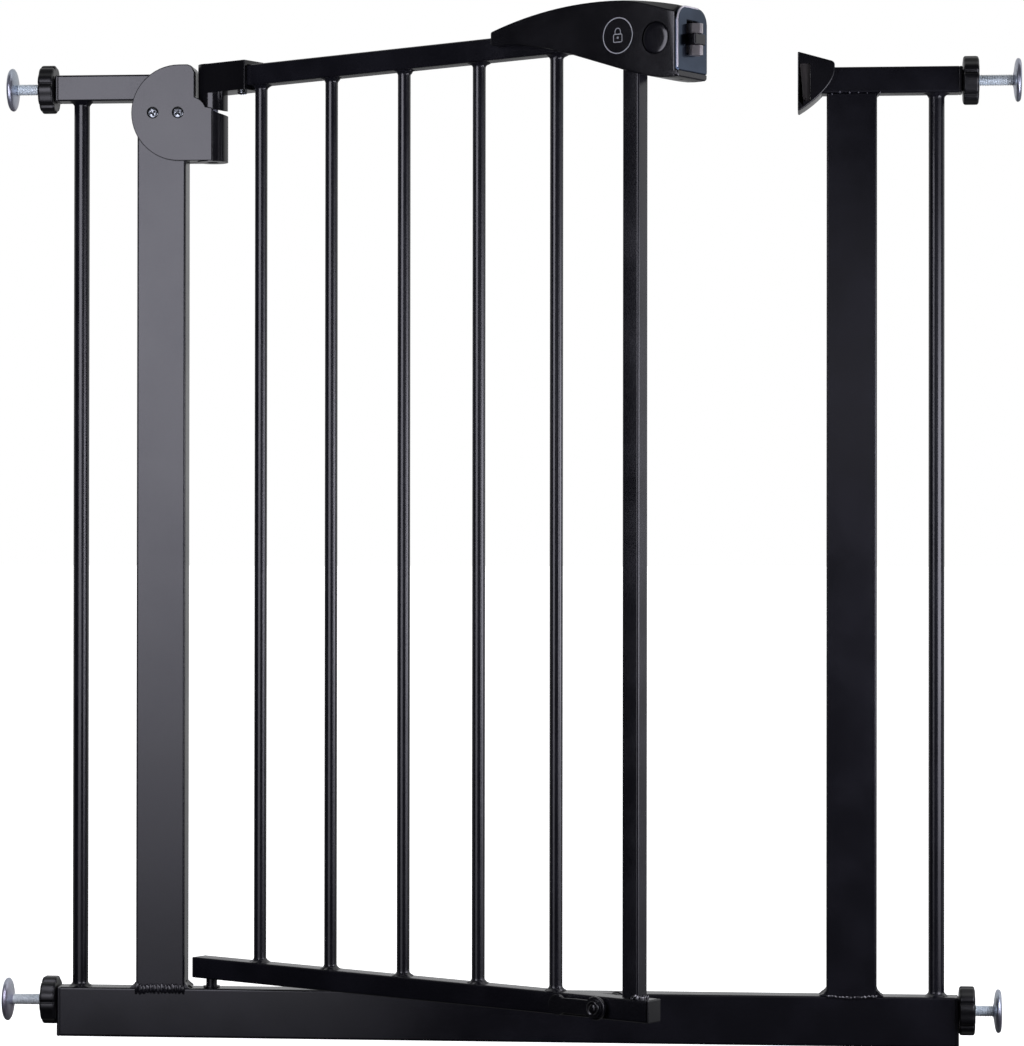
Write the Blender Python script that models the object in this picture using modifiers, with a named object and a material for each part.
"""Safety baby gate: a steel U-frame held between two walls by four screw spindles, with a door that
swings on a rising hinge and closes into a striker. Metres, +Z up. The origin is the centre of the
bottom rail's underside, +X runs towards the latch side and +Y away from the side the door opens to.
The door is modelled partly open: it hangs from an empty on its hinge axis."""

import math

import bmesh
import bpy
from mathutils import Matrix, Vector

MM = 0.001
GAP = 0.3 * MM                     # between pieces that touch

# Driving dimensions
TOP_END = 345 * MM                 # of each top rail, from the middle
BOTTOM_END = 342.2 * MM            # of the bottom rail, from the middle
FRAME_HEIGHT = 741 * MM
FLAT_TUBE = 38 * MM                # posts and bottom rail are 38 x 20 tube
SLIM_TUBE = 20 * MM
WALL = 1.5 * MM
OPENING = 491 * MM                 # between the posts
OUTER_BAR_RADIUS = 6 * MM
OUTER_BAR_X = 328.5 * MM
HINGE_X = -226 * MM
OPEN_ANGLE = math.radians(32)      # the door as modelled, from closed
LIFT_PER_RADIAN = 5.4 * MM         # the hinge raises the door as it opens
DOOR_BOTTOM = 42 * MM              # underside of the closed door
DOOR_HEIGHT = 700 * MM
DOOR_TUBE = 16 * MM
DOOR_WALL = 1.2 * MM
DOOR_RAIL_START = 14 * MM          # distances along the door count from the hinge axis
DOOR_RAIL_END = 410 * MM
DOOR_FOOT_START = -11.5 * MM
DOOR_FOOT_END = 412 * MM
BAR_RADIUS = 4.75 * MM
FIRST_BAR = 49.3 * MM
BAR_SPACING = 69.8 * MM
BAR_COUNT = 5
END_POST = 14 * MM                 # along the door
END_POST_DEPTH = 12 * MM
END_POST_CENTRE = 396.9 * MM
PLATE_FACE = 445.3 * MM            # outer face of the handle's end plate
HANDLE_DEPTH = 37 * MM
SPINDLE_RADIUS = 4 * MM
SPINDLE_INSIDE = 62 * MM           # spindle length inside the rail's end
UPPER_SPINDLE_Z = FRAME_HEIGHT - SLIM_TUBE / 2
LOWER_SPINDLE_Z = 27 * MM
# Outer face of each wall disc beyond the rail's end
REACH = {"top_left": 40 * MM, "top_right": 47 * MM, "bottom_left": 45.2 * MM, "bottom_right": 35 * MM}

DOOR_TOP = DOOR_BOTTOM + DOOR_HEIGHT
RAIL_UNDERSIDE = DOOR_TOP - DOOR_TUBE
POST_X = OPENING / 2 + FLAT_TUBE / 2
TOP_RAIL_UNDERSIDE = FRAME_HEIGHT - SLIM_TUBE
LIFT = LIFT_PER_RADIAN * OPEN_ANGLE


# ---------------------------------------------------------------- scene, materials, placing

for old in list(bpy.data.objects):
    bpy.data.objects.remove(old, do_unlink=True)

gate = bpy.data.collections.new("safety_gate")
cutters = bpy.data.collections.new("cutters")
for group in (gate, cutters):
    bpy.context.scene.collection.children.link(group)

FINISHES = {
    "powder_coat": ((0.016, 0.016, 0.018), 0.42, 0.0),
    "black_plastic": ((0.012, 0.012, 0.013), 0.35, 0.0),
    "zinc": ((0.62, 0.64, 0.68), 0.28, 1.0),
    "chrome": ((0.55, 0.57, 0.60), 0.12, 1.0),
    "strike_steel": ((0.20, 0.18, 0.16), 0.45, 1.0),
}


def material(name, finish):
    colour, roughness, metallic = FINISHES[finish]
    made = bpy.data.materials.new(name)
    made.use_nodes = True
    shader = made.node_tree.nodes["Principled BSDF"]
    shader.inputs["Base Color"].default_value = (*colour, 1)
    shader.inputs["Roughness"].default_value = roughness
    shader.inputs["Metallic"].default_value = metallic
    made.diffuse_color = (*colour, 1)
    return made


def empty(name, location, parent=None, turn_z=0.0):
    made = bpy.data.objects.new(name, None)
    made.empty_display_size = 0.03
    made.location = location
    made.rotation_euler = (0, 0, turn_z)
    made.parent = parent
    gate.objects.link(made)
    return made


def place(name, data, finish, parent=None, location=(0, 0, 0), group=gate):
    """An object for this mesh, in its collection, with a material of its own."""
    if isinstance(data, bmesh.types.BMesh):
        bmesh.ops.recalc_face_normals(data, faces=data.faces)
        mesh = bpy.data.meshes.new(name)
        data.to_mesh(mesh)
        data.free()
        data = mesh
    made = bpy.data.objects.new(name, data)
    made.location = location
    made.parent = parent
    group.objects.link(made)
    if finish:
        data.materials.append(material(name, finish))
    return made


# ---------------------------------------------------------------- shapes

def block(low, high):
    """A box between two corners."""
    size = Vector(high) - Vector(low)
    centre = (Vector(high) + Vector(low)) / 2
    made = bmesh.new()
    bmesh.ops.create_cube(made, size=1)
    bmesh.ops.scale(made, vec=size, verts=made.verts)
    bmesh.ops.translate(made, vec=centre, verts=made.verts)
    return made


# Turns that lay an upright shape's axis along X or Y
TURNS = {
    "X": Matrix.Rotation(math.pi / 2, 4, "Y"),
    "Y": Matrix.Rotation(-math.pi / 2, 4, "X"),
    "Z": Matrix.Identity(4),
}


def rod(centre, radius, length, axis, sides=32, ends=True):
    """A cylinder about its centre, along axis."""
    made = bmesh.new()
    bmesh.ops.create_cone(
        made, cap_ends=ends, cap_tris=False, segments=sides, radius1=radius, radius2=radius, depth=length
    )
    bmesh.ops.transform(made, matrix=Matrix.Translation(centre) @ TURNS[axis], verts=made.verts)
    return made


def joined(*shapes):
    """Several shapes in one mesh, for a Boolean to take as one."""
    made = bmesh.new()
    for shape in shapes:
        mesh = bpy.data.meshes.new("joined")
        bmesh.ops.recalc_face_normals(shape, faces=shape.faces)
        shape.to_mesh(mesh)
        shape.free()
        made.from_mesh(mesh)
        bpy.data.meshes.remove(mesh)
    return made


def extrude(made, corners, offset):
    """Makes a solid of the flat outline through these vertices, by pulling it along offset."""
    moved = bmesh.ops.extrude_face_region(made, geom=[made.faces.new(corners)])
    far = [part for part in moved["geom"] if isinstance(part, bmesh.types.BMVert)]
    bmesh.ops.translate(made, vec=offset, verts=far)
    bmesh.ops.recalc_face_normals(made, faces=made.faces)
    return made


def prism(outline, low, high):
    """A flat outline of (x, z) points made solid between two depths along Y."""
    made = bmesh.new()
    return extrude(made, [made.verts.new((x, low, z)) for x, z in outline], (0, high - low, 0))


def arc(centre, radius, start, end, steps):
    """Points on a circle from one angle to another, in degrees from +X towards +Z."""
    found = []
    for step in range(steps + 1):
        angle = math.radians(start + (end - start) * step / steps)
        found.append((centre[0] + radius * math.cos(angle), centre[1] + radius * math.sin(angle)))
    return found


def bezier(start, pull_start, pull_end, end, steps):
    """Points on a cubic curve between two points."""
    found = []
    for step in range(steps + 1):
        t = step / steps
        weights = ((1 - t) ** 3, 3 * t * (1 - t) ** 2, 3 * t * t * (1 - t), t ** 3)
        points = (start, pull_start, pull_end, end)
        found.append(tuple(sum(w * p[i] for w, p in zip(weights, points)) for i in range(2)))
    return found


def bevel(made, width, segments=2, angle=40):
    modifier = made.modifiers.new("Bevel", "BEVEL")
    modifier.width = width
    modifier.segments = segments
    modifier.limit_method = "ANGLE"
    modifier.angle_limit = math.radians(angle)
    modifier.harden_normals = False
    return made


def shell(made, wall):
    modifier = made.modifiers.new("Solidify", "SOLIDIFY")
    modifier.thickness = wall
    modifier.offset = -1
    modifier.use_even_offset = True
    return made


def boolean(made, shape, operation):
    """Cuts a shape away from an object, or joins it on. The shape moves with the object."""
    tool = place(made.name + "_" + operation.lower(), shape, None, made.parent, made.location, cutters)
    tool.hide_render = True
    tool.display_type = "WIRE"
    modifier = made.modifiers.new(operation.title(), "BOOLEAN")
    modifier.operation = operation
    modifier.solver = "EXACT"
    modifier.object = tool
    return made


def cut(made, *shapes):
    return boolean(made, joined(*shapes), "DIFFERENCE")


def add(made, *shapes):
    for shape in shapes:
        boolean(made, shape, "UNION")
    return made


def square_tube(name, low, high, axis, wall, corner, finish="powder_coat", parent=None):
    """An open-ended tube with rounded long edges between two corners, along axis."""
    shape = block(low, high)
    along = "XYZ".index(axis)
    ends = [face for face in shape.faces if abs(face.normal[along]) > 0.5]
    bmesh.ops.delete(shape, geom=ends, context="FACES_ONLY")
    made = place(name, shape, finish, parent)
    bevel(made, corner, 3)
    return shell(made, wall)


def round_tube(name, centre, radius, length, wall, parent=None):
    """An open-ended upright tube."""
    made = place(name, rod(centre, radius, length, "Z", 24, ends=False), "powder_coat", parent)
    return shell(made, wall)


def mirrored(profile):
    """A turned profile facing the other way along its axis."""
    return [(-along, radius) for along, radius in reversed(profile)]


def turned(name, profile, finish, parent=None, location=(0, 0, 0), steps=32, axis="X"):
    """A shape turned about axis from (distance along it, radius) points that start and end on it."""
    shape = bmesh.new()
    corners = [shape.verts.new((radius, 0, along)) for along, radius in profile]
    for first, second in zip(corners, corners[1:]):
        shape.edges.new((first, second))
    made = place(name, shape, finish, parent, location)
    made.rotation_euler = TURNS[axis].to_euler()
    modifier = made.modifiers.new("Screw", "SCREW")
    modifier.axis = "Z"
    modifier.steps = steps
    modifier.render_steps = steps
    modifier.use_merge_vertices = True
    modifier.merge_threshold = 1e-5
    modifier.use_normal_flip = True
    return made


def pan_screw(name, location, axis, head, head_height, shank, length, parent=None, flip=False):
    """A domed screw: the head stands beyond location along axis, the shank runs back from it."""
    dome = [(head_height * math.sin(a), head * math.cos(a)) for a in (0.25, 0.7, 1.15)]
    profile = [(-length, 0), (-length, shank), (0, shank), (0, head)] + dome + [(head_height, 0)]
    if flip:
        profile = mirrored(profile)
    return turned(name, profile, "zinc", parent, location, 20, axis)


# ---------------------------------------------------------------- frame

HALF = SLIM_TUBE / 2
UPPER_KNUCKLE_TOP = RAIL_UNDERSIDE - 3 * MM      # underside of the door's hinge cap
KNUCKLE_RADIUS = 11.5 * MM
RAMP_SLOPE = 0.3                                 # of the oblique faces that raise the door
RAMP_CENTRE_Z = 712.5 * MM
RAMP_GAP = 0.3 * MM
PIN_RADIUS = 4 * MM
PIN_BORE = 4.3 * MM
RAIL_BORE = 5.3 * MM                             # for the lower bush


def frame_tubes():
    low, high = (-BOTTOM_END, -HALF, 0), (BOTTOM_END, HALF, FLAT_TUBE)
    rail = square_tube("bottom_rail", low, high, "X", WALL, 2 * MM)
    cut(rail, rod((HINGE_X, 0, FLAT_TUBE), RAIL_BORE, 10 * MM, "Z", 24))
    for side, sign in (("left", -1), ("right", 1)):
        centre = sign * POST_X
        post = square_tube(
            side + "_post",
            (centre - FLAT_TUBE / 2, -HALF, FLAT_TUBE + GAP),
            (centre + FLAT_TUBE / 2, HALF, TOP_RAIL_UNDERSIDE - GAP),
            "Z", WALL, 2 * MM,
        )
        if sign < 0:
            cut(post, *[rod((x, 0, COVER_CENTRE[1]), 2.6 * MM, 30 * MM, "Y", 16) for x in COVER_SCREWS])
        inner = sign * (OPENING / 2 + 1 * MM if sign < 0 else STRIKER_FACE + 10.4 * MM)
        ends = sorted((inner, sign * TOP_END))
        square_tube(
            side + "_top_rail",
            (ends[0], -HALF, TOP_RAIL_UNDERSIDE), (ends[1], HALF, FRAME_HEIGHT),
            "X", WALL, 1.6 * MM,
        )
        length = TOP_RAIL_UNDERSIDE - FLAT_TUBE - 2 * GAP
        centre = (sign * OUTER_BAR_X, 0, (TOP_RAIL_UNDERSIDE + FLAT_TUBE) / 2)
        round_tube(side + "_outer_bar", centre, OUTER_BAR_RADIUS, length, 1 * MM)


def end_plug(name, sign, end, bottom, top, spindle_z):
    """A plastic plug in a rail's end: a flange, a stem inside the tube, and the spindle's hole."""
    inset = WALL + GAP
    flange = block((end + GAP, -HALF, bottom), (end + 3 * MM, HALF, top))
    stem = block((end - 12 * MM, inset - HALF, bottom + inset), (end + 1 * MM, HALF - inset, top - inset))
    for shape in (flange, stem):
        if sign < 0:
            bmesh.ops.scale(shape, vec=(-1, 1, 1), verts=shape.verts)
    plug = add(bevel(place(name, flange, "black_plastic"), 1.2 * MM), stem)
    return cut(plug, rod((sign * end, 0, spindle_z), SPINDLE_RADIUS + GAP, 60 * MM, "X", 24))


COVER_CENTRE = (-250.6 * MM, 711 * MM)
COVER_RADIUS = 37 * MM
COVER_SCREWS = (-270.8 * MM, -251.3 * MM)
COVER_EDGE = -238.3 * MM           # upright edge beside the door's cap
COVER_DEPTH = 13 * MM
COVER_SPLIT = 0.15 * MM            # half the gap between the two halves


def cover_outline():
    """The hinge cover's face: a half disc, a chamfered shoulder, and a step down to the knuckle."""
    cx, cz = COVER_CENTRE
    top = cz + COVER_RADIUS
    end = HINGE_X + 1.5 * MM
    outline = arc(COVER_CENTRE, COVER_RADIUS, 270, 90, 30)
    outline += [(COVER_EDGE - 5.5 * MM, top), (COVER_EDGE - 2.2 * MM, top - 1.3 * MM)]
    outline += [(COVER_EDGE, top - 6 * MM)]
    outline += bezier(
        (COVER_EDGE, 723 * MM), (COVER_EDGE + 5 * MM, 721 * MM),
        (COVER_EDGE + 7 * MM, 719 * MM), (COVER_EDGE + 8.5 * MM, 715.4 * MM), 4,
    )
    return outline + [(end, 714.4 * MM), (end, cz - COVER_RADIUS)]


def ramp_height(x):
    """Height of the oblique faces that raise the door, at x from the hinge axis."""
    return RAMP_CENTRE_Z - RAMP_SLOPE * x


def ramped_rod(radius, flat_end, gap, centre_x, sides=40):
    """An upright cylinder with one flat end and one on the oblique face, raised by gap."""
    shape = rod((0, 0, 0), radius, 1, "Z", sides)
    for corner in shape.verts:
        flat = (corner.co.z < 0) == (flat_end < RAMP_CENTRE_Z)
        corner.co.z = flat_end if flat else ramp_height(corner.co.x) + gap
        corner.co.x += centre_x
    return shape


def hinge_cover(side, sign):
    """One half of the cover that clamps the post and rail and carries the lower knuckle."""
    low, high = sorted((COVER_SPLIT * sign, COVER_DEPTH * sign))
    cover = place("hinge_cover_" + side, prism(cover_outline(), low, high), "black_plastic")
    bevel(cover, 0.9 * MM)
    add(cover, ramped_rod(KNUCKLE_RADIUS + 0.2 * MM, COVER_CENTRE[1] - COVER_RADIUS - 0.5 * MM, 0, HINGE_X))
    other_half = sorted((COVER_SPLIT * sign, -sign))
    cut(cover, block((-1, other_half[0], 0), (1, other_half[1], 2)))
    inner = HALF + GAP
    half_post = FLAT_TUBE / 2 + GAP
    cut(cover, block((-POST_X - half_post, -inner, 600 * MM), (-POST_X + half_post, inner, 721.5 * MM)))
    rail_low, rail_high = TOP_RAIL_UNDERSIDE - GAP, FRAME_HEIGHT + GAP
    cut(cover, block((-400 * MM, -inner, rail_low), (-OPENING / 2 + 0.5 * MM, inner, rail_high)))
    cut(cover, rod((HINGE_X, 0, 700 * MM), PIN_BORE, 100 * MM, "Z", 28))
    cut(cover, ramped_rod(KNUCKLE_RADIUS + 0.5 * MM, 800 * MM, 0.05 * MM, HINGE_X))
    for x in COVER_SCREWS:
        if sign < 0:
            cut(cover, rod((x, -COVER_DEPTH, COVER_CENTRE[1]), 4.6 * MM, 2.8 * MM, "Y", 24))
        cut(cover, rod((x, 0, COVER_CENTRE[1]), 2.3 * MM, 24 * MM if sign > 0 else 60 * MM, "Y", 16))
    return cover


STRIKER_FACE = 223.6 * MM
STRIKER_LOW = 707.5 * MM
STRIKER_HIGH = 752.5 * MM
STRIKER_DEPTH = 30 * MM
WINDOW_LOW = 714.4 * MM            # clear below the closed latch's prongs
WINDOW_HIGH = 744 * MM
WINDOW_DEPTH = 9.5 * MM


def striker():
    """The cup on the latch-side rail: a mouth for the door's end, with a steel strike inside."""
    x = STRIKER_FACE
    right = x + 28 * MM
    outline = [(x, STRIKER_HIGH), (x, STRIKER_LOW)]
    outline += bezier(
        (x + 1.5 * MM, STRIKER_LOW + 0.3 * MM), (x + 13 * MM, STRIKER_LOW + 7 * MM),
        (right - 1 * MM, STRIKER_LOW + 20 * MM), (right, STRIKER_LOW + 30 * MM), 10,
    )
    outline += [(right, STRIKER_HIGH - 9 * MM), (right - 1.5 * MM, STRIKER_HIGH - 7.4 * MM)]
    half = STRIKER_DEPTH / 2
    housing = bevel(place("striker_housing", prism(outline, -half, half), "black_plastic"), 1.2 * MM, 2, 30)
    inner = HALF + GAP
    rail_pocket = block(
        (x + 10 * MM, -inner, TOP_RAIL_UNDERSIDE - GAP), (x + 60 * MM, inner, FRAME_HEIGHT + GAP)
    )
    post_pocket = block(
        (POST_X - FLAT_TUBE / 2 - GAP, -inner, 600 * MM), (x + 60 * MM, inner, TOP_RAIL_UNDERSIDE + 1 * MM)
    )
    back = x + WINDOW_DEPTH
    skin = half - 2.2 * MM
    mouth = block((x - 5 * MM, -skin, WINDOW_LOW), (back, skin, WINDOW_HIGH))
    lip = 1.1 * MM
    window = block((x + lip, -40 * MM, WINDOW_LOW + 0.4 * MM), (back, 40 * MM, WINDOW_HIGH - 0.8 * MM))
    cut(housing, rail_pocket)
    cut(housing, post_pocket)
    cut(housing, mouth)
    cut(housing, window)
    cut(housing, rod((x + 19 * MM, half, UPPER_SPINDLE_Z), 1.9 * MM, 12 * MM, "Y", 16))
    steel = 1.2 * MM
    strike_half = skin - 0.4 * MM
    strike_back = back - GAP
    low, high = WINDOW_LOW + GAP, WINDOW_HIGH - GAP
    steel_block = block((x + 1.6 * MM, -strike_half, low), (strike_back, strike_half, high))
    plate = place("strike_plate", steel_block, "strike_steel")
    inside = strike_half - steel
    cut(plate, block((x - 5 * MM, -inside, 600 * MM), (strike_back - steel, inside, 800 * MM)))
    screw = (x + 19 * MM, half + GAP, UPPER_SPINDLE_Z)
    pan_screw("striker_screw", screw, "Y", 3.2 * MM, 1.8 * MM, 1.6 * MM, 4.2 * MM)


# ---------------------------------------------------------------- wall spindles

NUT_RADIUS = 18.5 * MM
NUT_WIDTH = 11.8 * MM
NUT_LOBES = 6
NUT_GROOVE = 1.1 * MM              # notch between two lobes
NUT_DIP = 0.6 * MM                 # shallow hollow along the middle of each lobe
# How far each nut's first groove is turned up from the front
NUT_TURN = {"top_left": 8, "top_right": 15, "bottom_left": 0, "bottom_right": 26}
DISC_RADIUS = 16.5 * MM
DISC_WIDTH = 5 * MM


def nut_radius(share):
    """Radius of the nut's rim, with share running from 0 to 1 over a lobe."""
    dip = NUT_DIP * (1 + math.cos(4 * math.pi * share)) / 2
    groove = NUT_GROOVE * max(0, 1 - 12 * min(share, 1 - share))
    return NUT_RADIUS - dip - groove


def adjusting_nut(corner, sign, end, z):
    """A lobed hand nut between the rail's end and the wall disc."""
    steps = NUT_LOBES * 12
    first = math.radians(90 + NUT_TURN[corner])
    shape = bmesh.new()
    outline = []
    for step in range(steps):
        angle = 2 * math.pi * step / steps - first
        radius = nut_radius(step / 12 % 1)
        point = (radius * math.cos(angle), radius * math.sin(angle), -NUT_WIDTH / 2)
        outline.append(shape.verts.new(point))
    extrude(shape, outline, (0, 0, NUT_WIDTH))
    bmesh.ops.transform(shape, matrix=TURNS["X"], verts=shape.verts)
    centre = sign * (end + 3 * MM + GAP + NUT_WIDTH / 2)
    nut = place("adjusting_nut_" + corner, shape, "black_plastic", None, (centre, 0, z))
    bevel(nut, 1.2 * MM, 2, 60)
    return cut(nut, rod((0, 0, 0), SPINDLE_RADIUS + GAP, 60 * MM, "X", 24))


def spindle(name, sign, end, z, reach):
    """A threaded spindle with a round head for the wall. Its origin is where it leaves the rail."""
    out = reach - DISC_WIDTH
    crown = [(out + DISC_WIDTH * f, DISC_RADIUS * r) for f, r in ((0.25, 0.96), (0.5, 1.0), (0.75, 0.975))]
    chamfer = 0.8 * MM
    profile = [(-SPINDLE_INSIDE, 0), (-SPINDLE_INSIDE, SPINDLE_RADIUS - chamfer)]
    profile += [(-SPINDLE_INSIDE + chamfer, SPINDLE_RADIUS), (out - 1.5 * MM, SPINDLE_RADIUS)]
    profile += [(out - 0.6 * MM, 6.5 * MM), (out, 11 * MM)] + crown
    profile += [(reach, DISC_RADIUS * 0.9), (reach, 0)]
    if sign < 0:
        profile = mirrored(profile)
    return turned(name, profile, "zinc", None, (sign * end, 0, z), 32)


def wall_fixings():
    for corner, reach in REACH.items():
        sign = -1 if corner.endswith("left") else 1
        upper = corner.startswith("top")
        end, z = (TOP_END, UPPER_SPINDLE_Z) if upper else (BOTTOM_END, LOWER_SPINDLE_Z)
        low, high = (TOP_RAIL_UNDERSIDE, FRAME_HEIGHT) if upper else (0, FLAT_TUBE)
        end_plug("end_plug_" + corner, sign, end, low, high, z)
        adjusting_nut(corner, sign, end, z)
        spindle("spindle_" + corner, sign, end, z, reach)


# ---------------------------------------------------------------- door
# The door's pieces are children of an empty on the hinge axis. In its frame X runs along the door,
# -Y is the front, and Z is the height that the piece has when the door is closed.

PIVOT_RADIUS = 4.2 * MM


def bush(door_axis):
    """The lower bearing: a flanged sleeve in the bottom rail that the door's pin slides in."""
    top = FLAT_TUBE + GAP
    thickness = 1 * MM
    flange = rod((0, 0, top + thickness / 2), 6.4 * MM, thickness, "Z", 32)
    made = place("lower_pivot_bush", flange, "black_plastic", door_axis)
    add(made, rod((0, 0, top - 7 * MM), RAIL_BORE - GAP, 16 * MM, "Z", 32))
    return cut(made, rod((0, 0, top), PIVOT_RADIUS + GAP, 60 * MM, "Z", 28))


def door_frame(door):
    half = DOOR_TUBE / 2
    top = square_tube(
        "door_top_rail", (DOOR_RAIL_START, -half, RAIL_UNDERSIDE), (DOOR_RAIL_END, half, DOOR_TOP),
        "X", DOOR_WALL, 1.6 * MM, parent=door,
    )
    cut(top, rod((CAP_SCREW, 0, RAIL_UNDERSIDE), 2 * MM, 6 * MM, "Z", 16))
    foot_top = DOOR_BOTTOM + DOOR_TUBE
    foot = square_tube(
        "door_bottom_rail", (DOOR_FOOT_START, -half, DOOR_BOTTOM), (DOOR_FOOT_END, half, foot_top),
        "X", DOOR_WALL, 1.6 * MM, parent=door,
    )
    cut(foot, rod((0, 0, DOOR_BOTTOM), PIVOT_RADIUS + GAP, 6 * MM, "Z", 24))
    cut(foot, rod((STOP_AXIS[0], 0, STOP_AXIS[1]), 2.4 * MM, 40 * MM, "Y", 16))
    low = foot_top + GAP
    high = RAIL_UNDERSIDE - GAP
    for bar in range(BAR_COUNT):
        centre = (FIRST_BAR + bar * BAR_SPACING, 0, (low + high) / 2)
        round_tube(f"door_bar_{bar + 1}", centre, BAR_RADIUS, high - low, 0.8 * MM, door)
    side, depth = END_POST / 2, END_POST_DEPTH / 2
    square_tube(
        "door_end_post",
        (END_POST_CENTRE - side, -depth, low), (END_POST_CENTRE + side, depth, high),
        "Z", DOOR_WALL, 1.5 * MM, parent=door,
    )
    inset = half - DOOR_WALL - GAP
    for side, end, sign in (("left", DOOR_FOOT_START, -1), ("right", DOOR_FOOT_END, 1)):
        flange = sorted((end + sign * GAP, end + sign * 1.9 * MM))
        stem = sorted((end + sign * 1 * MM, end - sign * 4.5 * MM))
        middle = DOOR_BOTTOM + half
        shape = block((flange[0], -half, DOOR_BOTTOM), (flange[1], half, foot_top))
        plug = bevel(place("door_plug_" + side, shape, "black_plastic", door), 0.8 * MM)
        add(plug, block((stem[0], -inset, middle - inset), (stem[1], inset, middle + inset)))


CAP_END = 42 * MM
CAP_TOP = DOOR_TOP + 3.5 * MM
CAP_SCREW = 30 * MM


def hinge_cap(door):
    """The plastic cap on the door's top corner, with the upper knuckle under it, and their pins."""
    radius = KNUCKLE_RADIUS
    low = UPPER_KNUCKLE_TOP
    shape = block((0, -radius, low), (CAP_END, radius, CAP_TOP))
    cap = bevel(place("door_hinge_cap", shape, "black_plastic", door), 0.7 * MM)
    round_end = rod((0, 0, (low + CAP_TOP) / 2), radius, CAP_TOP - low, "Z", 40)
    skirt = ramped_rod(radius - 0.05 * MM, low + 1 * MM, RAMP_GAP, 0)
    add(cap, round_end, skirt)
    half = DOOR_TUBE / 2 + GAP
    start = DOOR_RAIL_START - GAP
    cut(cap, block((start, -half, RAIL_UNDERSIDE - GAP), (1, half, DOOR_TOP + GAP)))
    cut(cap, rod((0, 0, 700 * MM), PIN_BORE, 60 * MM, "Z", 28))
    cut(cap, rod((CAP_SCREW, 0, low), 2 * MM, 12 * MM, "Z", 16))
    screw = (CAP_SCREW, 0, low - GAP)
    pan_screw("cap_screw", screw, "Z", 3.9 * MM, 2.2 * MM, 1.7 * MM, 7 * MM, door, flip=True)
    place("hinge_pin", rod((0, 0, 705 * MM), PIN_RADIUS, 46 * MM, "Z", 28), "zinc", door)
    pin = [(24 * MM, 0), (24 * MM, PIVOT_RADIUS - 0.6 * MM), (24.6 * MM, PIVOT_RADIUS)]
    head = DOOR_BOTTOM + DOOR_WALL + GAP
    pin += [(head, PIVOT_RADIUS), (head, 6.3 * MM), (head + 4 * MM, 6.3 * MM), (head + 4 * MM, 0)]
    turned("lower_pivot_pin", pin, "zinc", door, steps=28, axis="Z")


# ---------------------------------------------------------------- handle and latch

HANDLE_START = 282.5 * MM
HANDLE_END = 443 * MM
HANDLE_LOW = 699.8 * MM
ARCH_CENTRE = (373 * MM, 442.6 * MM)
ARCH_RADIUS = 315 * MM
SKIN = 2 * MM
PLATE_LOW = 704 * MM
PLATE_HIGH = 749.2 * MM
LATCH_Z = (PLATE_LOW + PLATE_HIGH) / 2
BUTTON = (426.6 * MM, 727.8 * MM)
BUTTON_RADIUS = 11 * MM
HANDLE_SCREWS = ((340 * MM, 747.6 * MM), (383 * MM, 719.5 * MM))


def arch_height(along):
    return ARCH_CENTRE[1] + math.sqrt(ARCH_RADIUS ** 2 - (along - ARCH_CENTRE[0]) ** 2)


def handle_outline(inset=0.0):
    """The handle's side: an arched top, and a lower edge that drops from the rail to the end plate."""
    start, end = HANDLE_START + inset, HANDLE_END - inset
    top = []
    for step in range(23):
        along = start + (end - start) * step / 22
        top.append((along, arch_height(along) - inset))
    low = bezier(
        (start, 734.3 * MM + inset), (330 * MM, 738.5 * MM + inset),
        (405 * MM, 700 * MM + inset), (435 * MM, HANDLE_LOW + inset), 18,
    )
    return low + [(end, HANDLE_LOW + inset)] + top[::-1]


def handle_half(door, side, sign):
    half = HANDLE_DEPTH / 2
    low, high = sorted((0.15 * MM * sign, half * sign))
    outer = place("handle_" + side, prism(handle_outline(), low, high), "black_plastic", door)
    bevel(outer, 1.4 * MM, 2, 50)
    low, high = sorted((-sign * 5 * MM, (half - SKIN) * sign))
    cut(outer, prism(handle_outline(SKIN), low, high))
    wall_low, wall_high = sorted((0.15 * MM * sign, (half - 0.5 * MM) * sign))
    seat = block((410.6 * MM, wall_low, LATCH_Z - 9 * MM), (412.2 * MM, wall_high, LATCH_Z + 9 * MM))
    middle, width = (wall_low + wall_high) / 2, wall_high - wall_low
    bosses = [rod((x, middle, z), 4.6 * MM, width, "Y", 20) for x, z in HANDLE_SCREWS]
    add(outer, seat, *bosses)
    rail = DOOR_TUBE / 2 + GAP
    cut(outer, block((0, -rail, RAIL_UNDERSIDE - GAP), (DOOR_RAIL_END + GAP, rail, DOOR_TOP + GAP)))
    post, depth = END_POST / 2 + GAP, END_POST_DEPTH / 2 + GAP
    cut(
        outer,
        block((END_POST_CENTRE - post, -depth, 600 * MM), (END_POST_CENTRE + post, depth, RAIL_UNDERSIDE)),
    )
    cut(outer, rod((BUTTON[0], sign * half, BUTTON[1]), BUTTON_RADIUS + 0.4 * MM, 12 * MM, "Y", 32))
    end_slot = block((HANDLE_END - 8 * MM, -7.2 * MM, LATCH_Z - 13 * MM), (1, 7.2 * MM, LATCH_Z + 13 * MM))
    cut(outer, end_slot)
    for x, z in HANDLE_SCREWS:
        cut(outer, rod((x, 0, z), 1.6 * MM, 24 * MM if sign < 0 else 60 * MM, "Y", 16))
        if sign > 0:
            cut(outer, rod((x, half, z), 3.2 * MM, 5 * MM, "Y", 20))
    return outer


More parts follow.
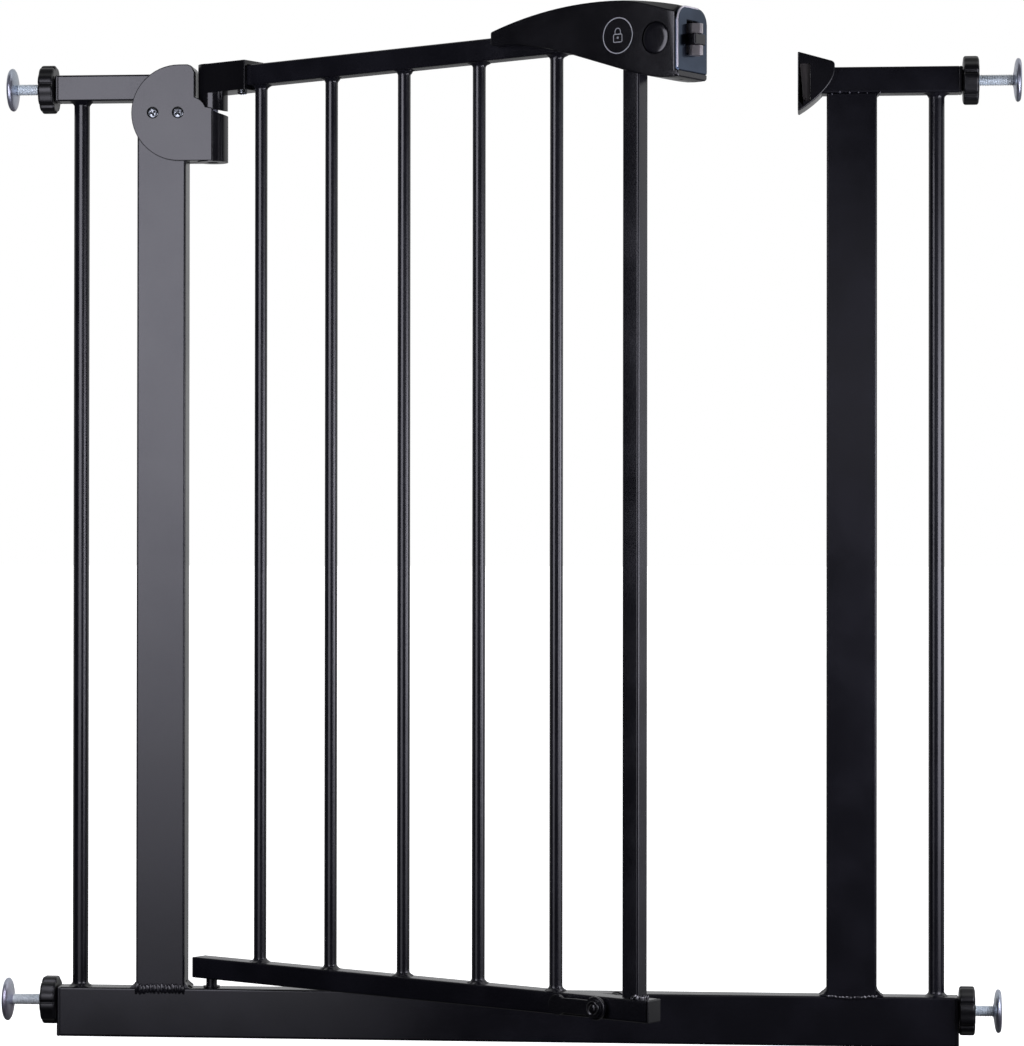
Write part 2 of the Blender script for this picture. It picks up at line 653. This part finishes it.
def release_button(door, side, sign):
    """A round button with a low dome and a collar inside the shell. Its origin is on its face's middle."""
    half = HANDLE_DEPTH / 2
    radius = BUTTON_RADIUS
    stem = 3 * MM
    collar = radius + 1.2 * MM
    inner = 8.3 * MM - half
    profile = [(inner, 0), (inner, stem), (-3.8 * MM, stem), (-3.8 * MM, collar), (-2.3 * MM, collar)]
    profile += [(-2.3 * MM, radius), (-1.1 * MM, radius), (-0.5 * MM, radius - 0.5 * MM)]
    profile += [(-0.15 * MM, radius - 1.6 * MM), (0.05 * MM, radius - 4 * MM), (0.2 * MM, 0)]
    if sign < 0:
        profile = mirrored(profile)
    centre = (BUTTON[0], sign * half, BUTTON[1])
    return turned("release_button_" + side, profile, "black_plastic", door, centre, 36, "Y")


LATCH_BACK = 424.5 * MM
LATCH_TIP = PLATE_FACE + 8 * MM
PRONG_OFFSET = 7.6 * MM            # of each prong's centre above and below the latch's
PRONG_HEIGHT = 6.8 * MM
BLOCK_HALF = 3.9 * MM


def latch_plate(door):
    """The metal plate on the handle's end, with the slot that the latch stands out of."""
    half = HANDLE_DEPTH / 2
    corner = 8 * MM
    y, z = half - corner, PLATE_HIGH - corner
    outline = arc((y, z), corner, 0, 90, 6) + arc((-y, z), corner, 90, 180, 6)
    outline += [(-half, PLATE_LOW), (half, PLATE_LOW)]
    plate = prism(outline, HANDLE_END + GAP, PLATE_FACE)
    bmesh.ops.rotate(plate, matrix=Matrix.Rotation(-math.pi / 2, 3, "Z"), verts=plate.verts)
    made = bevel(place("latch_plate", plate, "chrome", door), 0.8 * MM, 2, 50)
    return cut(made, block((400 * MM, -7 * MM, LATCH_Z - 13.2 * MM), (1, 7 * MM, LATCH_Z + 13.2 * MM)))


def latch_bolt(door):
    """Two pointed prongs on a web inside the handle."""
    half = 5 * MM
    web_low, web_high = LATCH_Z - 11 * MM, LATCH_Z + 11 * MM
    web = block((LATCH_BACK, -half, web_low), (LATCH_BACK + 6 * MM, half, web_high))
    bolt = bevel(place("latch_bolt", web, "zinc", door), 0.5 * MM)
    root, shoulder, near_tip = LATCH_BACK + 3 * MM, LATCH_TIP - 5 * MM, LATCH_TIP - 0.6 * MM
    side = [(root, half), (shoulder, half), (near_tip, 2 * MM)]
    outline = side + [(LATCH_TIP, 0)] + [(along, -across) for along, across in reversed(side)]
    for centre in (LATCH_Z - PRONG_OFFSET, LATCH_Z + PRONG_OFFSET):
        prong = bmesh.new()
        corners = [prong.verts.new((x, y, centre - PRONG_HEIGHT / 2)) for x, y in outline]
        add(bolt, extrude(prong, corners, (0, 0, PRONG_HEIGHT)))


def latch_block(door):
    """The plastic block between the prongs, with a narrower part inside, clear of the buttons."""
    shoulder = LATCH_BACK + 16.5 * MM
    front, inner = LATCH_TIP - 1.2 * MM, BLOCK_HALF - 0.5 * MM
    nose = block((shoulder, -6.4 * MM, LATCH_Z - BLOCK_HALF), (front, 6.4 * MM, LATCH_Z + BLOCK_HALF))
    start, end = LATCH_BACK + 6 * MM + GAP, shoulder + 2 * MM
    stem = block((start, -4.4 * MM, LATCH_Z - inner), (end, 4.4 * MM, LATCH_Z + inner))
    add(bevel(place("latch_block", nose, "black_plastic", door), 0.8 * MM), stem)


def latch_spring(door):
    """The coil that pushes the latch out, from its seat in the handle."""
    turns, per_turn = 5, 10
    radius = 3 * MM
    start, end = 413.2 * MM, LATCH_BACK - 1 * MM
    curve = bpy.data.curves.new("latch_spring", "CURVE")
    curve.dimensions = "3D"
    curve.bevel_depth = 0.4 * MM
    curve.bevel_resolution = 1
    curve.use_fill_caps = True
    count = turns * per_turn
    line = curve.splines.new("POLY")
    line.points.add(count)
    for step, point in enumerate(line.points):
        angle = 2 * math.pi * step / per_turn
        along = start + (end - start) * step / count
        point.co = (along, radius * math.cos(angle), LATCH_Z + radius * math.sin(angle), 1)
    place("latch_spring", curve, "zinc", door)


# ---------------------------------------------------------------- stop lever

STOP_AXIS = (372 * MM, DOOR_BOTTOM + DOOR_TUBE / 2)
STOP_INNER = 10.8 * MM             # clear of the bottom rail's faces when the lever hangs down
STOP_WIDTH = 3 * MM
STOP_LENGTH = 33 * MM


def stop_lever(door):
    """Two levers on a through pin. Turned down, they stand either side of the bottom rail."""
    axis = empty("stop_axis", (STOP_AXIS[0], 0, STOP_AXIS[1]), door)
    for side, sign in (("front", -1), ("rear", 1)):
        low, high = sorted((sign * STOP_INNER, sign * (STOP_INNER + STOP_WIDTH)))
        waist = 5.6 * MM
        outline = arc((0, 0), 8.4 * MM, -140, 140, 18)
        outline += arc((-STOP_LENGTH, 0), 7.4 * MM, 45, 315, 16)
        outline += [(-STOP_LENGTH / 2, -waist)]
        outline.insert(19, (-STOP_LENGTH / 2, waist))
        lever = place("stop_lever_" + side, prism(outline, low, high), "black_plastic", axis)
        bevel(lever, 0.8 * MM, 2, 50)
        boss_low, boss_high = DOOR_TUBE / 2 + GAP, STOP_INNER + STOP_WIDTH + 1.6 * MM
        middle = sign * (boss_low + boss_high) / 2
        add(lever, rod((0, middle, 0), 6.6 * MM, boss_high - boss_low, "Y", 28))
        cut(lever, rod((0, 0, 0), 2.3 * MM, 60 * MM, "Y", 20))
    reach = boss_high + GAP
    profile = [(-reach - 1.2 * MM, 0), (-reach - 1.2 * MM, 3 * MM), (-reach, 3.8 * MM), (-reach, 2 * MM)]
    profile += [(reach, 2 * MM), (reach, 3.8 * MM), (reach + 1.2 * MM, 3 * MM), (reach + 1.2 * MM, 0)]
    turned("stop_pin", profile, "zinc", axis, steps=24, axis="Y")


# ---------------------------------------------------------------- build

frame_tubes()
for cover_side, cover_sign in (("front", -1), ("rear", 1)):
    hinge_cover(cover_side, cover_sign)
for number, screw_x in enumerate(COVER_SCREWS, 1):
    pan_screw(
        f"hinge_screw_{number}", (screw_x, -COVER_DEPTH + 1.4 * MM - GAP, COVER_CENTRE[1]), "Y",
        4 * MM, 1.7 * MM, 2 * MM, 20 * MM, flip=True,
    )
striker()
wall_fixings()

bush_axis = empty("pivot_axis", (HINGE_X, 0, 0), None, -OPEN_ANGLE)
bush(bush_axis)
door_axis = empty("door_axis", (0, 0, LIFT), bush_axis)
door_frame(door_axis)
hinge_cap(door_axis)
for handle_side, handle_sign in (("front", -1), ("rear", 1)):
    handle_half(door_axis, handle_side, handle_sign)
    release_button(door_axis, handle_side, handle_sign)
for number, (screw_along, screw_z) in enumerate(HANDLE_SCREWS, 1):
    pan_screw(
        f"handle_screw_{number}", (screw_along, HANDLE_DEPTH / 2 - 2.5 * MM + GAP, screw_z), "Y",
        2.9 * MM, 1.5 * MM, 1.3 * MM, 20 * MM, door_axis,
    )
latch_plate(door_axis)
latch_bolt(door_axis)
latch_block(door_axis)
latch_spring(door_axis)
stop_lever(door_axis)
